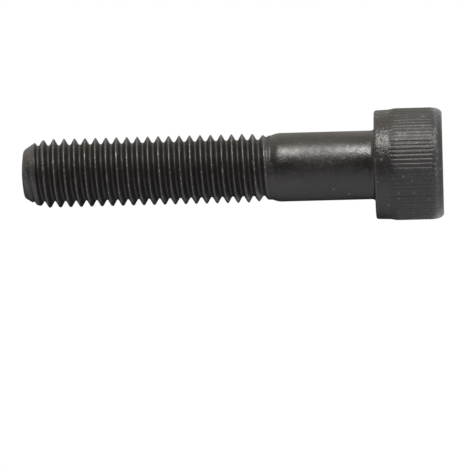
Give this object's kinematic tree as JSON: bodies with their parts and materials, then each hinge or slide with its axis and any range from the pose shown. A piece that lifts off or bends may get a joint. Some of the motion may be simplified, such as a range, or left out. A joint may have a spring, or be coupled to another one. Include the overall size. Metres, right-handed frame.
{
  "type": "hex socket cap screw",
  "caption": "Black steel screw with a knurled round head, a hexagon socket for a key, a plain shank and a right-hand thread, for clamping parts to a tapped hole or nut.",
  "frame": {"origin": "middle of the head's top face, which the screw stands on, with the socket facing down", "axes": "+Z runs along the screw's axis from the head to the tip; +X points to one corner of the hexagon"},
  "size_m": [0.016, 0.016, 0.0602],
  "materials": {
    "black_steel": "satin"
  },
  "bodies": {
    "root": {"cap_screw": "black_steel"}
  },
  "joints": []
}
